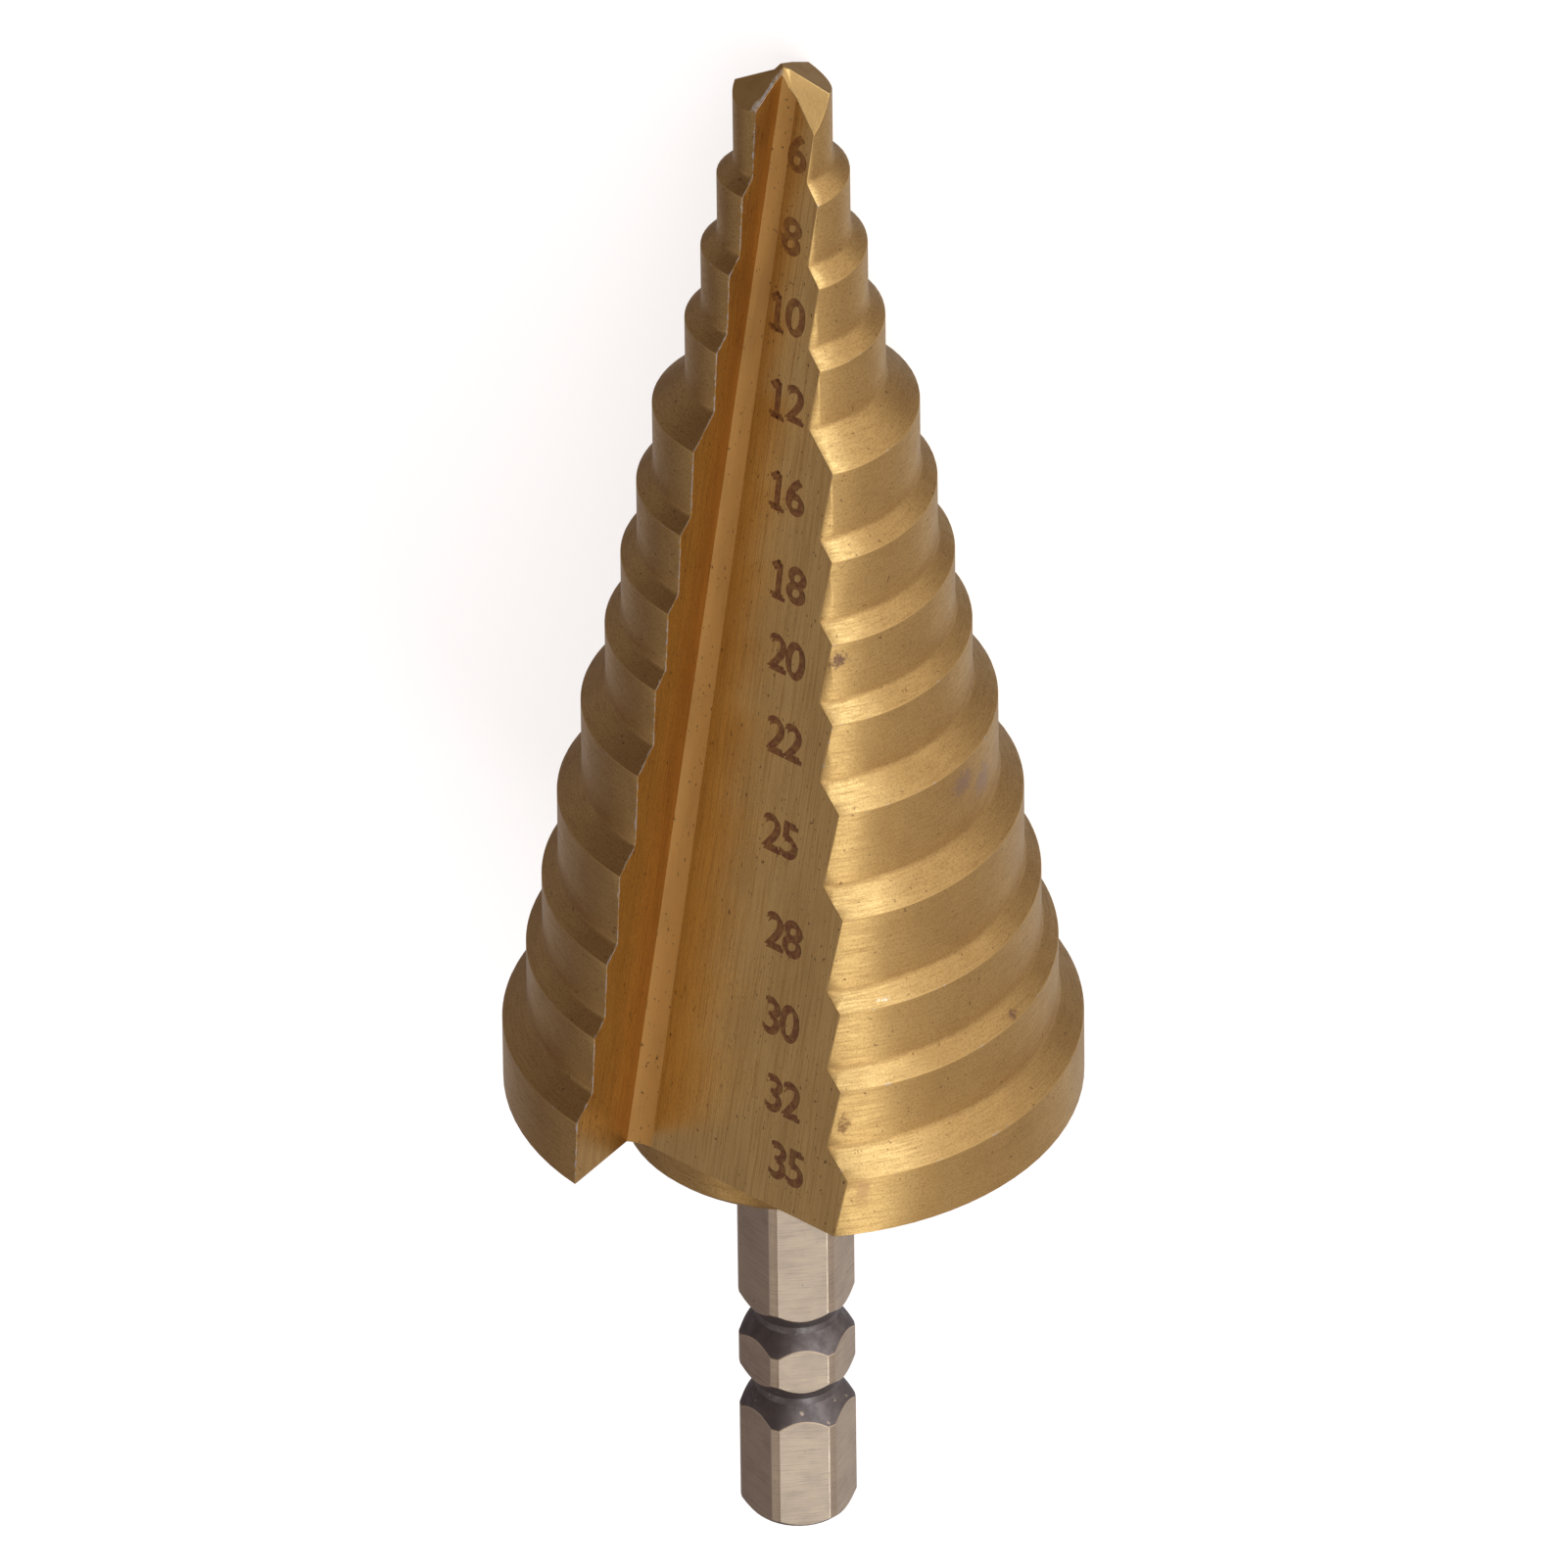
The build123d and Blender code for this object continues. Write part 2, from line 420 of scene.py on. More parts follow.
def over_first_flute(tree, place):
    """The place on the first flute that matches this place on either flute."""
    y = add(tree, "ShaderNodeSeparateXYZ", {"Vector": place}).outputs["Y"]
    side = add(tree, "ShaderNodeMath", {0: y}, operation="SIGN")
    side = add(tree, "ShaderNodeMath", {0: side, 1: -1.0}, operation="MULTIPLY")
    turn = add(tree, "ShaderNodeCombineXYZ", {"X": side, "Y": side, "Z": 1.0})
    return add(tree, "ShaderNodeVectorMath", {0: place, 1: turn}, operation="MULTIPLY")


def beside_cutting_edge(tree, place, width):
    """One along the head's cutting edges, and zero this many millimetres behind them."""
    flute_place = over_first_flute(tree, place)
    off = add(tree, "ShaderNodeVectorMath", {0: flute_place, 1: valley_foot}, operation="SUBTRACT")
    away = add(tree, "ShaderNodeVectorMath", {0: off, 1: rake_normal}, operation="DOT_PRODUCT")
    away = add(tree, "ShaderNodeMath", {0: away.outputs["Value"]}, operation="ABSOLUTE")
    near = add(tree, "ShaderNodeMapRange", {"Value": away, **rising(width, 0.0)},
               interpolation_type="SMOOTHSTEP")
    height = add(tree, "ShaderNodeSeparateXYZ", {"Vector": place}).outputs["Z"]
    on_head = add(tree, "ShaderNodeMapRange", {"Value": height, **rising(-0.3, -0.1)},
                  interpolation_type="SMOOTHSTEP")
    return add(tree, "ShaderNodeMath", {0: near, 1: on_head}, operation="MULTIPLY")


def patch(tree, place, centre, size, turn):
    """A ragged patch around a centre, with its half sizes and its turn in degrees."""
    local = add(tree, "ShaderNodeMapping", {
        "Vector": place, "Location": centre, "Rotation": [radians(t) for t in turn], "Scale": size,
    }, vector_type="TEXTURE")
    off = add(tree, "ShaderNodeVectorMath", {0: local}, operation="LENGTH").outputs["Value"]
    # Its edge is eaten away in bites of 0.25 mm
    holes = add(tree, "ShaderNodeTexNoise", {
        "Vector": place, "Scale": 4.0, "Detail": 5.0, "Roughness": 0.8,
    })
    ragged = add(tree, "ShaderNodeMath", {0: holes, 1: 3.0, 2: off}, operation="MULTIPLY_ADD")
    return add(tree, "ShaderNodeMapRange", {"Value": ragged, **rising(2.3, 1.8)},
               interpolation_type="SMOOTHSTEP")


def metal(tree, colour, roughness, height, depth, along_axis=0.0, across_axis=0.0):
    """A metal with its relief in millimetres, and how far its grain stretches reflections."""
    relief = add(tree, "ShaderNodeBump", {"Height": height, "Distance": depth * MM})
    axis = add(tree, "ShaderNodeCombineXYZ", dict(zip("XYZ", to_tip)))
    quarter_turn = 0.25
    surface = add(tree, "ShaderNodeBsdfPrincipled", {
        "Base Color": colour, "Metallic": 1.0, "Roughness": roughness, "Normal": relief,
        "Tangent": axis, "Anisotropic": max(along_axis, across_axis),
        "Anisotropic Rotation": quarter_turn if across_axis else 0.0,
    })
    add(tree, "ShaderNodeOutputMaterial", {"Surface": surface})


def turned_coating(colours):
    """Titanium nitride on turned and relieved steel: satin gold with fine rings of grinding."""
    material, tree = new_material("titanium_nitride_turned")
    place = drill_position(tree)
    # Rings of grinding about 0.1 mm apart, broken into short arcs, clouds of some 3 mm, grit of
    # 0.1 mm and dark specks of 0.3 mm. Scale is the number of bumps to a millimetre.
    around = ring_position(tree, place, length=1.5, pitch=0.1, depth=0.1)
    rings = add(tree, "ShaderNodeTexNoise", {
        "Vector": around, "Scale": 1.0, "Detail": 4.0, "Roughness": 0.7,
    })
    clouds = add(tree, "ShaderNodeTexNoise", {
        "Vector": place, "Scale": 0.3, "Detail": 4.0, "Roughness": 0.55,
    })
    grit = add(tree, "ShaderNodeTexNoise", {
        "Vector": place, "Scale": 8.0, "Detail": 2.0, "Roughness": 0.55,
    })
    specks = add(tree, "ShaderNodeTexNoise", {
        "Vector": place, "Scale": 3.0, "Detail": 3.0, "Roughness": 0.55,
    })
    colour = tinted(tree, colours.coating, colours.coating_dark, clouds, 0.4, 0.75, 0.3)
    colour = tinted(tree, colour, colours.coating_dark, rings, 0.45, 0.7, 0.45)
    colour = tinted(tree, colour, colours.coating_dark, grit, 0.45, 0.65, 0.5)
    colour = tinted(tree, colour, linear(dark_speck), specks, 0.66, 0.72, 0.6)
    for centre, size, turn, tone in wear:
        colour = add(tree, "ShaderNodeMix", {
            amount: patch(tree, place, centre, size, turn), under: colour, over: linear(tone),
        }, data_type="RGBA").outputs[mixed_colour]
    # Chips of some 0.5 mm break out here and there, and most of all along the cutting edges. They
    # are six times as deep as the rings.
    chips = add(tree, "ShaderNodeTexNoise", {
        "Vector": place, "Scale": 2.2, "Detail": 5.0, "Roughness": 0.75,
    })
    chips = add(tree, "ShaderNodeMath", {
        0: beside_cutting_edge(tree, place, width=0.35), 1: 0.5, 2: chips,
    }, operation="MULTIPLY_ADD")
    chipped = add(tree, "ShaderNodeMapRange", {"Value": chips, **rising(0.98, 1.02)},
                  interpolation_type="SMOOTHSTEP")
    colour = add(tree, "ShaderNodeMix", {
        amount: chipped, under: colour, over: linear(chip_steel),
    }, data_type="RGBA").outputs[mixed_colour]
    relief = add(tree, "ShaderNodeMath", {0: chipped, 1: -6.0, 2: rings}, operation="MULTIPLY_ADD")
    roughness = add(tree, "ShaderNodeMapRange", {"Value": rings, **following(0.34, 0.46)},
                    interpolation_type="SMOOTHSTEP")
    metal(tree, colour, roughness, relief, depth=0.005, along_axis=0.65)
    return material


def ground_coating(colours, name, roughest, smoothest, across_axis, grain_stain, corner_shade_most):
    """Titanium nitride on the ground flutes: gold with grain, small dark pits and painted corner
    shade.
    """
    material, tree = new_material(name)
    place = over_first_flute(tree, drill_position(tree))
    turn = valley_line.to_track_quat("Z", "X").to_euler()
    # Grain, clouds and pits: how wide, deep and long their bumps are in millimetres, how many
    # finer layers each has, and how strong those are
    patterns = []
    for size, detail, fineness in (
        ((0.1, 0.1, 5.0), 4.0, 0.7), ((2.0, 2.0, 8.0), 4.0, 0.55), ((0.2, 0.2, 0.35), 2.0, 0.55),
    ):
        along_flute = add(tree, "ShaderNodeMapping", {
            "Vector": place, "Rotation": turn, "Scale": size,
        }, vector_type="TEXTURE")
        patterns.append(add(tree, "ShaderNodeTexNoise", {
            "Vector": along_flute, "Scale": 1.0, "Detail": detail, "Roughness": fineness,
        }))
    grain, clouds, pits = patterns
    colour = tinted(tree, colours.coating, colours.coating_dark, clouds, 0.4, 0.75, 0.4)
    colour = tinted(tree, colour, colours.coating_dark, grain, 0.42, 0.68, grain_stain)
    colour = tinted(tree, colour, linear(dark_speck), pits, 0.66, 0.72, 0.8)
    # On the rake face the coating is painted darker along its corner with the valley's floor:
    # painted shade
    off = add(tree, "ShaderNodeVectorMath", {0: place, 1: valley_foot}, operation="SUBTRACT")
    up_rake = add(tree, "ShaderNodeVectorMath", {0: off, 1: wide_normal}, operation="DOT_PRODUCT")
    past_floor, under_land = (
        add(tree, "ShaderNodeMapRange", {"Value": up_rake.outputs["Value"], **reach},
            interpolation_type="SMOOTHSTEP")
        for reach in (rising(0.05, 0.3), rising(2.8, 0.9, corner_shade_most))
    )
    corner = add(tree, "ShaderNodeMath", {0: past_floor, 1: under_land}, operation="MULTIPLY")
    colour = add(tree, "ShaderNodeMix", {
        amount: corner, under: colour, over: linear(painted_corner_shade),
    }, data_type="RGBA").outputs[mixed_colour]
    roughness = add(tree, "ShaderNodeMapRange", {"Value": grain, **following(smoothest, roughest)},
                    interpolation_type="SMOOTHSTEP")
    metal(tree, colour, roughness, grain, depth=0.01, across_axis=across_axis)
    return material


def point_coating(colours):
    """Titanium nitride on the ground point, broken away to bare steel along the lip."""
    material, tree = new_material("titanium_nitride_point")
    place = drill_position(tree)
    # Clouds of about 1 mm, and grit of some 0.2 mm that stands far higher where it has broken away
    clouds = add(tree, "ShaderNodeTexNoise", {
        "Vector": place, "Scale": 1.0, "Detail": 4.0, "Roughness": 0.55,
    })
    relief = add(tree, "ShaderNodeTexNoise", {
        "Vector": place, "Scale": 6.0, "Detail": 4.0, "Roughness": 0.55,
    })
    colour = tinted(tree, colours.coating, colours.coating_dark, clouds, 0.4, 0.75, 0.3)
    roughness = add(tree, "ShaderNodeMapRange", {"Value": clouds, **following(0.3, 0.4)},
                    interpolation_type="SMOOTHSTEP")
    for centre, size, turn in lip_wear:
        chipped = patch(tree, place, centre, size, turn)
        broken = add(tree, "ShaderNodeMath", {0: chipped, 1: 25.0, 2: 1.0},
                     operation="MULTIPLY_ADD")
        relief = add(tree, "ShaderNodeMath", {0: relief, 1: broken}, operation="MULTIPLY")
        colour = add(tree, "ShaderNodeMix", {
            amount: chipped, under: colour, over: linear(chip_steel),
        }, data_type="RGBA").outputs[mixed_colour]
        roughness = add(tree, "ShaderNodeMath", {0: chipped, 1: 0.5, 2: roughness},
                        operation="MULTIPLY_ADD", use_clamp=True)
    metal(tree, colour, roughness, relief, depth=0.01)
    return material


def worn_edge(colours):
    """Broken edges: chipped titanium nitride on the head, and bare steel on the shank."""
    material, tree = new_material("worn_edge")
    place = drill_position(tree)
    # Chips of some 0.8 mm
    chips = add(tree, "ShaderNodeTexNoise", {
        "Vector": place, "Scale": 1.3, "Detail": 4.0, "Roughness": 0.7,
    })
    height = add(tree, "ShaderNodeSeparateXYZ", {"Vector": place}).outputs["Z"]
    colour = tinted(tree, colours.coating, colours.worn, chips, 0.6, 0.64)
    colour = tinted(tree, colour, colours.steel, height, -collar_length, -collar_length - 0.1)
    roughness = add(tree, "ShaderNodeMapRange", {"Value": chips, **following(0.3, 0.45)},
                    interpolation_type="SMOOTHSTEP")
    metal(tree, colour, roughness, chips, depth=0.01)
    return material


def cutting_edge(colours):
    """Cutting edges: the titanium nitride has mostly gone, and bright steel shows."""
    material, tree = new_material("cutting_edge")
    place = drill_position(tree)
    # Chips of some 0.5 mm that run into one another
    chips = add(tree, "ShaderNodeTexNoise", {
        "Vector": place, "Scale": 1.8, "Detail": 5.0, "Roughness": 0.75,
    })
    colour = tinted(tree, colours.coating, linear(edge_steel), chips, 0.46, 0.54)
    roughness = add(tree, "ShaderNodeMapRange", {"Value": chips, **following(0.35, 0.5)},
                    interpolation_type="SMOOTHSTEP")
    metal(tree, colour, roughness, chips, depth=0.06)
    return material


def ground_steel(colours):
    """Bare ground steel of the shank's flats: pale satin with grinding lines across the flat."""
    material, tree = new_material("ground_steel")
    place = drill_position(tree)
    # Grinding lines 0.07 mm apart, clouds of 2 mm and specks of 0.3 mm
    around = ring_position(tree, place, length=10.0, pitch=0.07, depth=3.0)
    lines = add(tree, "ShaderNodeTexNoise", {
        "Vector": around, "Scale": 1.0, "Detail": 4.0, "Roughness": 0.7,
    })
    clouds = add(tree, "ShaderNodeTexNoise", {
        "Vector": place, "Scale": 0.5, "Detail": 4.0, "Roughness": 0.55,
    })
    specks = add(tree, "ShaderNodeTexNoise", {
        "Vector": place, "Scale": 3.0, "Detail": 3.0, "Roughness": 0.55,
    })
    colour = tinted(tree, colours.steel, linear(shank_cloud), clouds, 0.35, 0.7, 0.3)
    colour = tinted(tree, colour, linear(shank_line), lines, 0.45, 0.75, 0.6)
    colour = tinted(tree, colour, linear(shank_speck), specks, 0.7, 0.75, 0.7)
    roughness = add(tree, "ShaderNodeMapRange", {"Value": lines, **following(0.36, 0.46)},
                    interpolation_type="SMOOTHSTEP")
    metal(tree, colour, roughness, lines, depth=0.004, along_axis=0.5)
    return material


def turned_steel(colours):
    """Bare turned steel of the shank's grooves and end: darker, dulled by the hardening."""
    material, tree = new_material("turned_steel")
    place = drill_position(tree)
    # Rings of turning 0.15 mm apart, clouds of some 0.8 mm and bright nicks of 0.5 mm
    around = ring_position(tree, place, length=3.0, pitch=0.15, depth=0.15)
    rings = add(tree, "ShaderNodeTexNoise", {
        "Vector": around, "Scale": 1.0, "Detail": 4.0, "Roughness": 0.6,
    })
    clouds = add(tree, "ShaderNodeTexNoise", {
        "Vector": place, "Scale": 1.2, "Detail": 5.0, "Roughness": 0.65,
    })
    nicks = add(tree, "ShaderNodeTexNoise", {
        "Vector": place, "Scale": 1.8, "Detail": 3.0, "Roughness": 0.55,
    })
    colour = tinted(tree, linear(hardened_light), linear(hardened_dark), clouds, 0.35, 0.65)
    colour = tinted(tree, colour, colours.steel, nicks, 0.68, 0.72, 0.8)
    roughness = add(tree, "ShaderNodeMapRange", {"Value": clouds, **following(0.42, 0.55)},
                    interpolation_type="SMOOTHSTEP")
    metal(tree, colour, roughness, rings, depth=0.004)
    return material


def etched_mark(colours):
    """Electro-etched numbers: a brown oxide film, worn thin in places and towards the tip."""
    material, tree = new_material("etched_mark")
    place = drill_position(tree)
    # The film has worn thin in spots of some 0.3 mm
    worn = add(tree, "ShaderNodeTexNoise", {
        "Vector": place, "Scale": 3.0, "Detail": 5.0, "Roughness": 0.75,
    })
    height = add(tree, "ShaderNodeSeparateXYZ", {"Vector": place}).outputs["Z"]
    in_places, near_tip = (
        add(tree, "ShaderNodeMapRange", {"Value": value, **reach},
            interpolation_type="SMOOTHSTEP")
        for value, reach in ((worn, rising(0.42, 0.6, 0.6)), (height, rising(48.0, 66.0, 0.3)))
    )
    thin = add(tree, "ShaderNodeMath", {0: in_places, 1: near_tip}, operation="ADD")
    colour = add(tree, "ShaderNodeMix", {
        amount: thin, under: colours.mark, over: colours.coating_dark,
    }, data_type="RGBA").outputs[mixed_colour]
    metal(tree, colour, roughness=0.4, height=worn, depth=0.004)
    return material


def select_only(mesh_object):
    """Selects this object by itself and makes it active."""
    bpy.ops.object.select_all(action="DESELECT")
    mesh_object.select_set(True)
    bpy.context.view_layer.objects.active = mesh_object


def edit(mesh_object):
    """Opens this object by itself in edit mode."""
    select_only(mesh_object)
    bpy.ops.object.mode_set(mode="EDIT")


def joined(pieces):
    """These objects as one."""
    select_only(pieces[0])
    for piece in pieces:
        piece.select_set(True)
    bpy.ops.object.join()
    return bpy.context.active_object


def over_flute(point, turn):
    """The place or direction on the first flute that matches this one on either flute."""
    return Vector((turn * point.x, turn * point.y, point.z))


def surface_kind(centre, normal):
    """Which finish a face of the bar has, from its place and normal in the drill's own axes."""
    if centre.z < -collar_length - height_gap:
        outside = hypot(centre.x, centre.y) > shank_flat_radius - shank_flat_margin
        return "flat" if outside and abs(normal.z) < square_to_axis else "shank"
    for turn in (1, -1):
        own_normal = over_flute(normal, turn)
        from_valley = over_flute(centre, turn) - valley_foot
        if max(own_normal.dot(wide_normal), own_normal.dot(rake_normal)) > same_normal:
            return "flute"
        off_line = from_valley - valley_line * from_valley.dot(valley_line)
        near = off_line.length < valley_reach * valley_nose_radius
        square = abs(own_normal.dot(valley_line)) < square_to_valley
        if near and square and centre.z > height_gap:
            return "valley"
    outward = (normal.x * centre.x + normal.y * centre.y) / hypot(centre.x, centre.y)
    return "point" if centre.z > notch_foot and outward < land_looks_out else "turned"


def flatten_valleys(mesh, valley_faces):
    """Moves the round floor of both valleys to the profile of the worn wheel."""
    normals_at = {}
    for face in mesh.polygons:
        for index in face.vertices:
            normals_at.setdefault(index, []).append(into_drill @ face.normal)
    found = {}
    for face in valley_faces:
        turn = 1 if (into_drill @ face.normal).dot(wide_normal + rake_normal) > 0 else -1
        for index in face.vertices:
            place = over_flute(in_drill(mesh.vertices[index].co), turn)
            off = place - valley_foot - valley_line * (place.z / valley_line.z)
            up_wide = off.cross(rake_across).z / wide_across.cross(rake_across).z
            up_rake = off.cross(wide_across).z / rake_across.cross(wide_across).z
            width = 1 - valley_floor_taper * place.z / point_height
            found[index] = (turn, off, up_wide - up_rake, width)
    reach = max(abs(along) for _, _, along, _ in found.values())
    for index, (turn, off, along, width) in found.items():
        share = (along / reach + 1) / 2
        hollow = 4 * share * (1 - share) * valley_floor_hollow
        shift = rake_across * (valley_floor_from * (1 - share) - hollow) * width - off
        shift += wide_across * (valley_floor_to * share - hollow) * width
        # At an end of the valley the point slides back onto the face that ends it
        ends = [over_flute(normal, turn) for normal in normals_at[index]]
        end = max(ends, key=lambda normal: abs(normal.dot(valley_line)))
        if abs(valley_line.dot(end)) > valley_end_looks_along:
            shift -= valley_line * (shift.dot(end) / valley_line.dot(end))
        mesh.vertices[index].co += drill_axes @ over_flute(shift, turn) * MM


def leave_inner_edges(mesh):
    """Takes the edges at the foot of a wall, and every face, out of the selection."""
    beside = {}
    for face in mesh.polygons:
        for key in face.edge_keys:
            beside.setdefault(key, []).append(face)
    for edge in mesh.edges:
        faces = beside[edge.key]
        if edge.select and (faces[1].center - faces[0].center).dot(faces[0].normal) > 0:
            edge.select = False
    for face in mesh.polygons:
        face.select = False


def on_cutting_edge(centre):
    """Whether this place is along the front of a land, where a flute's rake face ends."""
    for turn in (1, -1):
        place = over_flute(centre, turn)
        near = abs((place - valley_foot).dot(rake_normal)) < cutting_edge_reach
        if near and place.dot(rake_across) > 0 and centre.z > 0:
            return True
    return False


def cleaned(body):
    """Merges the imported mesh's doubles and the triangles of each level face."""
    edit(body)
    bpy.ops.mesh.customdata_custom_splitnormals_clear()
    bpy.ops.mesh.select_all(action="SELECT")
    bpy.ops.mesh.remove_doubles(threshold=merge_distance * MM)
    bpy.ops.mesh.dissolve_limited(angle_limit=radians(level_angle))
    bpy.ops.object.mode_set(mode="OBJECT")


def broken_edges(body, width, finish):
    """Breaks every outer edge of the bar, in this finish."""
    edit(body)
    bpy.ops.mesh.select_mode(type="EDGE")
    bpy.ops.mesh.select_all(action="DESELECT")
    bpy.ops.mesh.edges_select_sharp(sharpness=radians(sharp_angle))
    bpy.ops.object.mode_set(mode="OBJECT")
    leave_inner_edges(body.data)
    edit(body)
    bpy.ops.mesh.bevel(
        offset=width, segments=edge_rows, affect="EDGES", clamp_overlap=False, material=finish,
    )
    bpy.ops.mesh.select_all(action="SELECT")
    bpy.ops.mesh.dissolve_degenerate(threshold=smallest_edge * MM)
    bpy.ops.object.mode_set(mode="OBJECT")


def smoothed(body):
    """Shades the round surfaces smooth, with the level ones kept flat by their size."""
    bpy.ops.object.shade_smooth_by_angle(angle=radians(smooth_angle))
    bpy.ops.object.modifier_add(type="WEIGHTED_NORMAL")
    weighting = body.modifiers[-1]
    weighting.mode = "FACE_AREA"
    weighting.keep_sharp = True
    bpy.ops.object.modifier_apply(modifier=weighting.name)


class STEP_DRILL_OT_add_body(Operator):
    """The drill's one piece, with broken edges and a finish for each kind of surface"""

    bl_idname = "step_drill.add_body"
    bl_label = "Drill body"

    def execute(self, context):
        colours = context.scene.step_drill_colours
        bar = frame["nodes"]["step_drill"]
        select_only(bar)
        bpy.ops.object.duplicate()
        body = context.active_object
        if body is bar:
            raise RuntimeError("the bar was not copied")
        body.name = body.data.name = "drill_body"
        del body["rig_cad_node"]

        body.data.materials.clear()
        finishes = {
            "turned": turned_coating(colours),
            "flute": ground_coating(
                colours, "titanium_nitride_ground", smoothest=0.22, roughest=0.3,
                across_axis=0.4, grain_stain=0.8, corner_shade_most=0.55,
            ),
            "valley": ground_coating(
                colours, "titanium_nitride_valley", smoothest=0.75, roughest=0.85,
                across_axis=0.0, grain_stain=0.0, corner_shade_most=0.0,
            ),
            "point": point_coating(colours),
            "flat": ground_steel(colours),
            "shank": turned_steel(colours),
            "edge": worn_edge(colours),
            "cutting": cutting_edge(colours),
        }
        for finish in finishes.values():
            body.data.materials.append(finish)
        kinds = list(finishes)
        edge = kinds.index("edge")

        cleaned(body)
        for face in body.data.polygons:
            kind = surface_kind(in_drill(face.center), into_drill @ face.normal)
            face.material_index = kinds.index(kind)
        valley = kinds.index("valley")
        flatten_valleys(body.data, [f for f in body.data.polygons if f.material_index == valley])
        broken_edges(body, context.scene.step_drill_sizes.edge_width, edge)
        for face in body.data.polygons:
            centre = in_drill(face.center)
            if face.material_index == edge and on_cutting_edge(centre):
                face.material_index = kinds.index("cutting")
            elif face.material_index == edge and centre.z > point_height:
                face.material_index = kinds.index("point")
        smoothed(body)
        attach(body, "root")
        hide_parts("step_drill")
        return {"FINISHED"}


def typed_figure(figure, height):
    """A figure of the plain typeface."""
    bpy.ops.object.text_add()
    text = bpy.context.active_object
    text.data.body = figure
    text.data.align_x = "CENTER"
    text.data.align_y = "CENTER"
    text.data.size = height / figure_share
    text.data.offset = -stroke_thinning * height
    bpy.ops.object.convert(target="MESH")
    return bpy.context.active_object


def figure_one(height):
    """The figure 1 with its foot, which the plain typeface's lacks, and its flag."""
    bars = []
    for across, up, length, thickness, tilt in bars_of_one:
        bpy.ops.mesh.primitive_plane_add(size=1.0)
        bar = bpy.context.active_object
        move = Matrix.Translation((across * height, up * height, 0.0))
        stretch = Matrix.Diagonal((length * height, thickness * height, 1.0, 1.0))
        bar.data.transform(move @ Matrix.Rotation(radians(tilt), 4, "Z") @ stretch)
        bars.append(bar)
    return joined(bars)


def flat_figure(figure, height):
    """One figure of a size mark, flat and centred, of this height."""
    bpy.ops.object.select_all(action="DESELECT")
    return figure_one(height) if figure == "1" else typed_figure(figure, height)


class STEP_DRILL_OT_add_marks(Operator):
    """The etched size number beside each step, on the wide face of the upper flute"""

    bl_idname = "step_drill.add_marks"
    bl_label = "Size marks"

    def execute(self, context):
        sizes = context.scene.step_drill_sizes
        up_face = wide_normal.cross(wide_across)
        face_axes = drill_axes @ Matrix((wide_across, up_face, wide_normal)).transposed()
        narrow = Matrix.Diagonal((sizes.figure_narrowing, 1.0, 1.0, 1.0))
        figures = []
        for number, height, across in marks:
            middle = valley_foot + wide_across * across + up_face * (height / up_face.z)
            place = Matrix.Translation(head_base + drill_axes @ middle * MM) @ face_axes.to_4x4()
            for order, figure in enumerate(number):
                offset = (order - (len(number) - 1) / 2) * sizes.figure_pitch
                # Each figure is struck twice, and the second strike lies over the first
                for strike, layer in ((-0.5, 1), (0.5, 2)):
                    made = flat_figure(figure, sizes.figure_height)
                    shift = strike * sizes.strike_shift
                    struck = Matrix.Translation((offset + shift, -shift, sizes.mark_relief * layer))
                    made.data.transform(place @ struck @ narrow)
                    figures.append(made)
        if not figures:
            raise RuntimeError("no size mark was made")
        size_marks = joined(figures)
        size_marks.name = size_marks.data.name = "size_marks"
        size_marks.data.materials.clear()
        size_marks.data.materials.append(etched_mark(context.scene.step_drill_colours))
        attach(size_marks, "root")
        return {"FINISHED"}


def add_lamp(name, towards, width, height, radiance, tone):
    """A soft lamp that faces the drill from this direction of the scene."""
    place = lamps_face + Vector(towards).normalized() * lamp_distance
    bpy.ops.object.select_all(action="DESELECT")
    bpy.ops.object.light_add(type="AREA", location=place)
    lamp = bpy.context.active_object
    lamp.name = name
    lamp.rotation_euler = (lamps_face - place).to_track_quat("-Z", "Y").to_euler()
    lamp.data.shape = "RECTANGLE"
    lamp.data.size = width
    lamp.data.size_y = height
    lamp.data.energy = radiance * width * height * pi
    lamp.data.color = linear(tone)
    lamp.visible_camera = False


def floor_paint(colour, glow):
    """Pale matt paint that looks nearly white to the camera and keeps the drill's shadow."""
    material, tree = new_material("floor_paint")
    ray = add(tree, "ShaderNodeLightPath").outputs
    seen = add(tree, "ShaderNodeMath", {
        0: ray["Is Camera Ray"], 1: ray["Is Transmission Ray"],
    }, operation="MAXIMUM")
    strength = add(tree, "ShaderNodeMath", {0: seen, 1: glow}, operation="MULTIPLY")
    paint = add(tree, "ShaderNodeBsdfDiffuse", {"Color": colour})
    glowing = add(tree, "ShaderNodeEmission", {"Strength": strength})
    both = add(tree, "ShaderNodeAddShader", {0: paint, 1: glowing})
    add(tree, "ShaderNodeOutputMaterial", {"Surface": both})
    return material


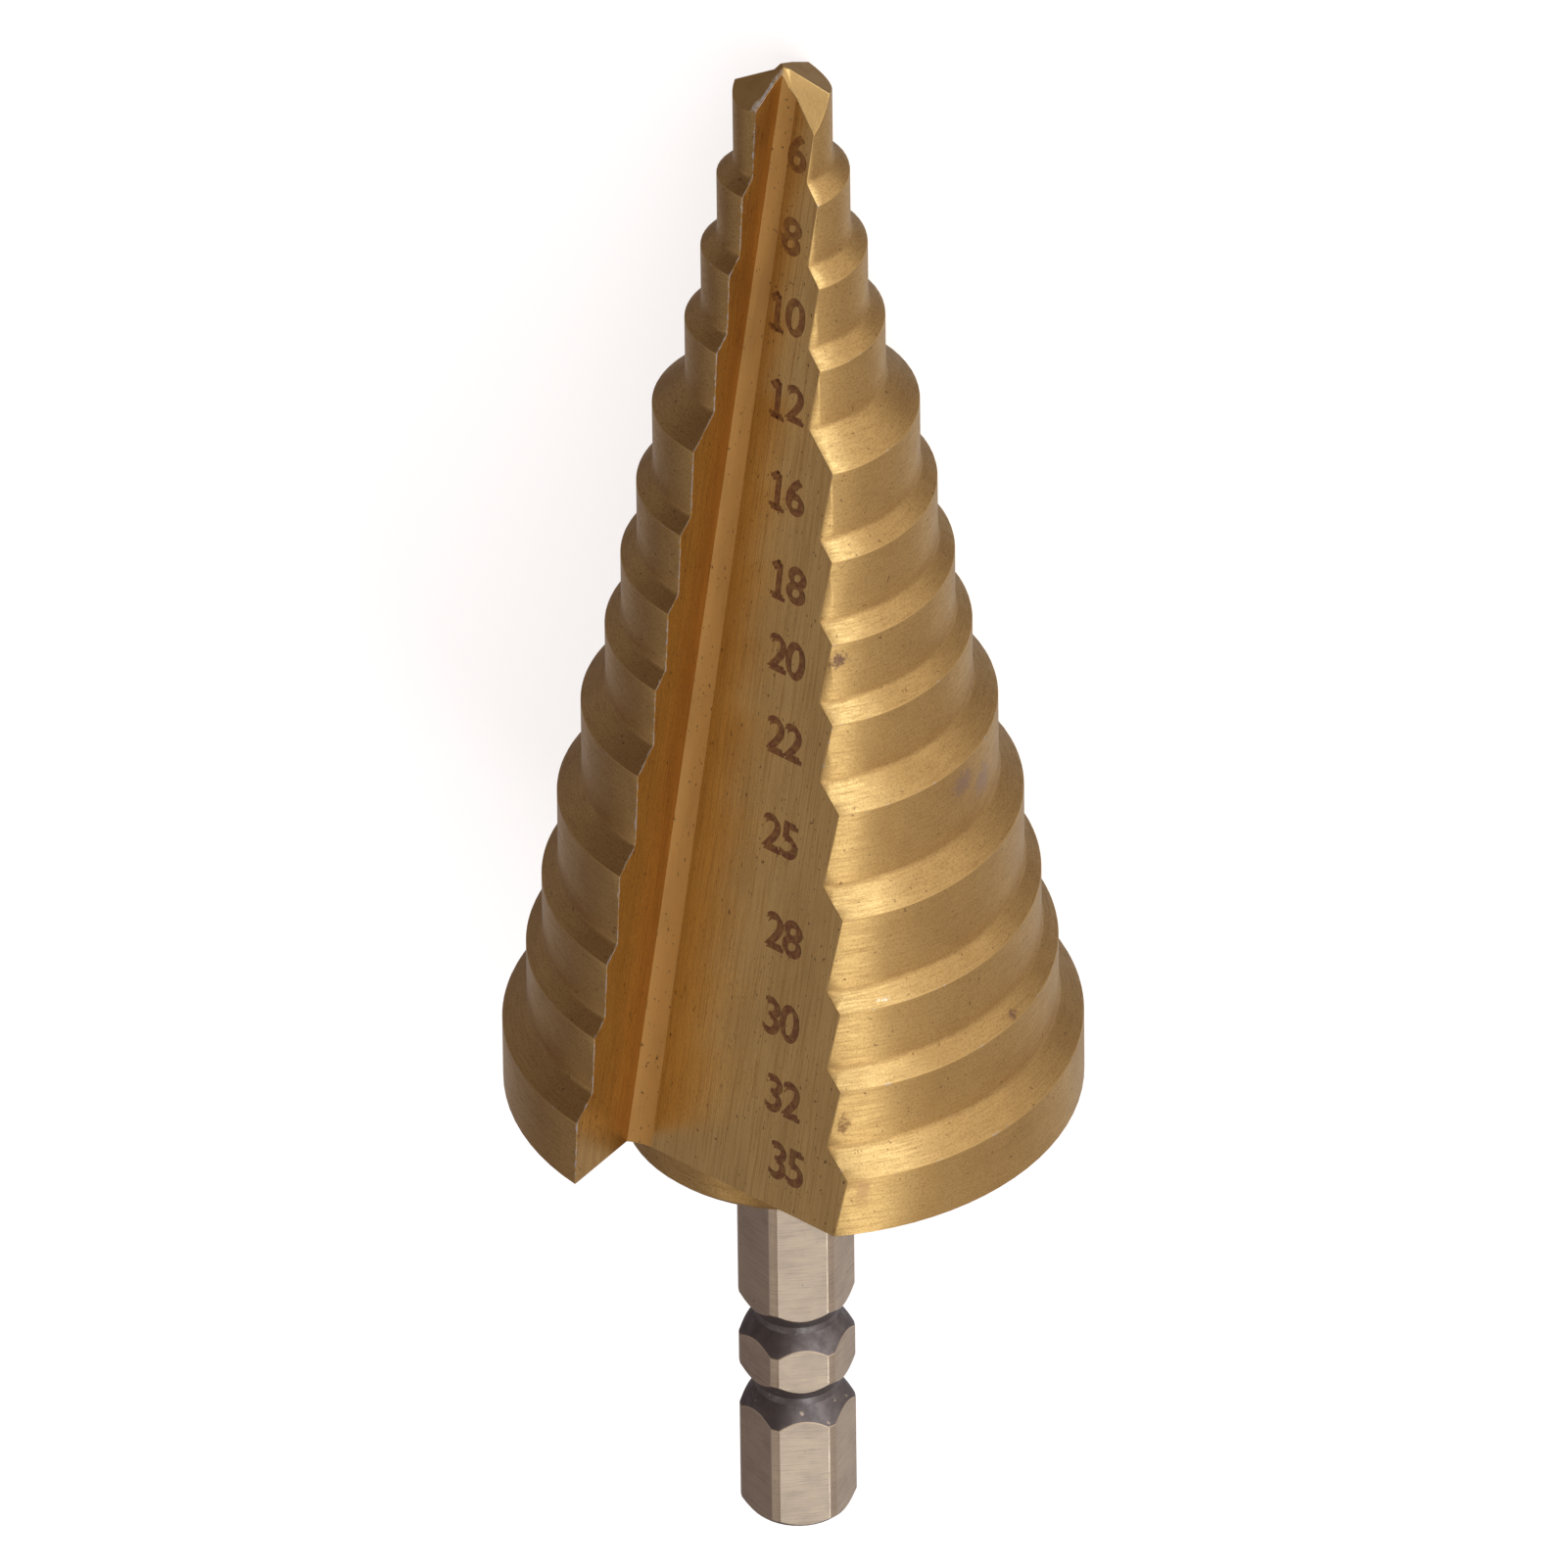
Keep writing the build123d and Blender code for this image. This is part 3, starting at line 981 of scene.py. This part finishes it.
def studio_room(colour, strength):
    """A room that is white to the camera and lights the drill softly from its parts."""
    world = bpy.data.worlds.new("studio_room")
    world.use_nodes = True
    tree = world.node_tree
    tree.nodes.clear()
    ray = add(tree, "ShaderNodeLightPath").outputs
    towards = add(tree, "ShaderNodeTexCoord").outputs["Generated"]
    light = Vector(colour) * strength
    for part, edge, gain, tone in room_parts:
        facing = add(tree, "ShaderNodeVectorMath", {
            0: towards, 1: Vector(part).normalized(),
        }, operation="DOT_PRODUCT").outputs["Value"]
        glow = add(tree, "ShaderNodeMapRange", {
            "Value": facing, **rising(cos(radians(edge)), 1.0, gain),
        }, interpolation_type="SMOOTHSTEP")
        light = add(tree, "ShaderNodeVectorMath", {0: linear(tone), 1: glow, 2: light},
                    operation="MULTIPLY_ADD")
    seen = add(tree, "ShaderNodeMix", {
        amount: ray["Is Camera Ray"], under: light, over: white,
    }, data_type="RGBA").outputs[mixed_colour]
    shown = add(tree, "ShaderNodeBackground", {"Color": seen, "Strength": 1.0})
    add(tree, "ShaderNodeOutputWorld", {"Surface": shown})
    return world


class STEP_DRILL_OT_add_stage(Operator):
    """Pale floor, room light and soft lamps"""

    bl_idname = "step_drill.add_stage"
    bl_label = "Studio"

    def execute(self, context):
        studio = context.scene.step_drill_studio
        colours = context.scene.step_drill_colours
        bpy.ops.object.select_all(action="DESELECT")
        bpy.ops.mesh.primitive_plane_add(size=studio.floor_size, location=(0.0, 0.0, cad_low.z))
        floor = context.active_object
        floor.name = "studio_floor"
        floor.visible_glossy = False
        floor.data.materials.append(floor_paint(colours.floor, studio.floor_glow))
        context.scene.world = studio_room(colours.room, studio.room_light)
        for name, settings in lamps.items():
            add_lamp(name, *settings)
        return {"FINISHED"}


class STEP_DRILL_OT_add_camera(Operator):
    """The camera at the photograph's viewing angle"""

    bl_idname = "step_drill.add_camera"
    bl_label = "Camera"

    def execute(self, context):
        rise, lean = radians(camera_rise), radians(camera_lean)
        back = direction(camera_angle) * cos(rise) + to_tip * sin(rise)
        upright = (to_tip - back * to_tip.dot(back)).normalized()
        sideways = direction(camera_angle + 90)
        up = upright * cos(lean) + sideways * sin(lean)
        right = sideways * cos(lean) - upright * sin(lean)
        aim = head_base + right * picture_right + up * picture_up
        place = head_base + back * camera_distance
        forward = (aim - place).normalized()
        right = forward.cross(up).normalized()
        axes = Matrix((right, right.cross(forward), -forward)).transposed()
        bpy.ops.object.camera_add()
        camera = context.active_object
        camera.name = "photo_camera"
        camera.matrix_world = Matrix.Translation(place) @ axes.to_4x4()
        camera.data.sensor_width = sensor_width
        camera.data.lens = sensor_width * camera_distance / picture_width
        camera.data.clip_start = nearest_seen
        camera.data.clip_end = farthest_seen
        context.scene.camera = camera
        context.scene.view_settings.view_transform = "Standard"
        return {"FINISHED"}


class STEP_DRILL_PT_sidebar(Panel):
    bl_idname = "STEP_DRILL_PT_sidebar"
    bl_label = "Step drill"
    bl_space_type = "VIEW_3D"
    bl_region_type = "UI"
    bl_category = "Step drill"

    def draw(self, context):
        layout = self.layout
        scene = context.scene
        for group in (scene.step_drill_sizes, scene.step_drill_colours, scene.step_drill_studio):
            box = layout.box()
            for name in group.__annotations__:
                box.prop(group, name)
        for operator in operators:
            layout.operator(operator.bl_idname)


operators = (
    STEP_DRILL_OT_add_body, STEP_DRILL_OT_add_marks, STEP_DRILL_OT_add_stage,
    STEP_DRILL_OT_add_camera,
)
groups = (StepDrillSizes, StepDrillColours, StepDrillStudio)
classes = (*groups, *operators, STEP_DRILL_PT_sidebar)


def register():
    for each in classes:
        bpy.utils.register_class(each)
    bpy.types.Scene.step_drill_sizes = PointerProperty(type=StepDrillSizes)
    bpy.types.Scene.step_drill_colours = PointerProperty(type=StepDrillColours)
    bpy.types.Scene.step_drill_studio = PointerProperty(type=StepDrillStudio)


def unregister():
    del bpy.types.Scene.step_drill_studio
    del bpy.types.Scene.step_drill_colours
    del bpy.types.Scene.step_drill_sizes
    for each in reversed(classes):
        bpy.utils.unregister_class(each)


def main():
    register()
    bpy.ops.step_drill.add_body()
    bpy.ops.step_drill.add_marks()
    bpy.ops.step_drill.add_stage()
    bpy.ops.step_drill.add_camera()


if __name__ == "__main__":
    main()
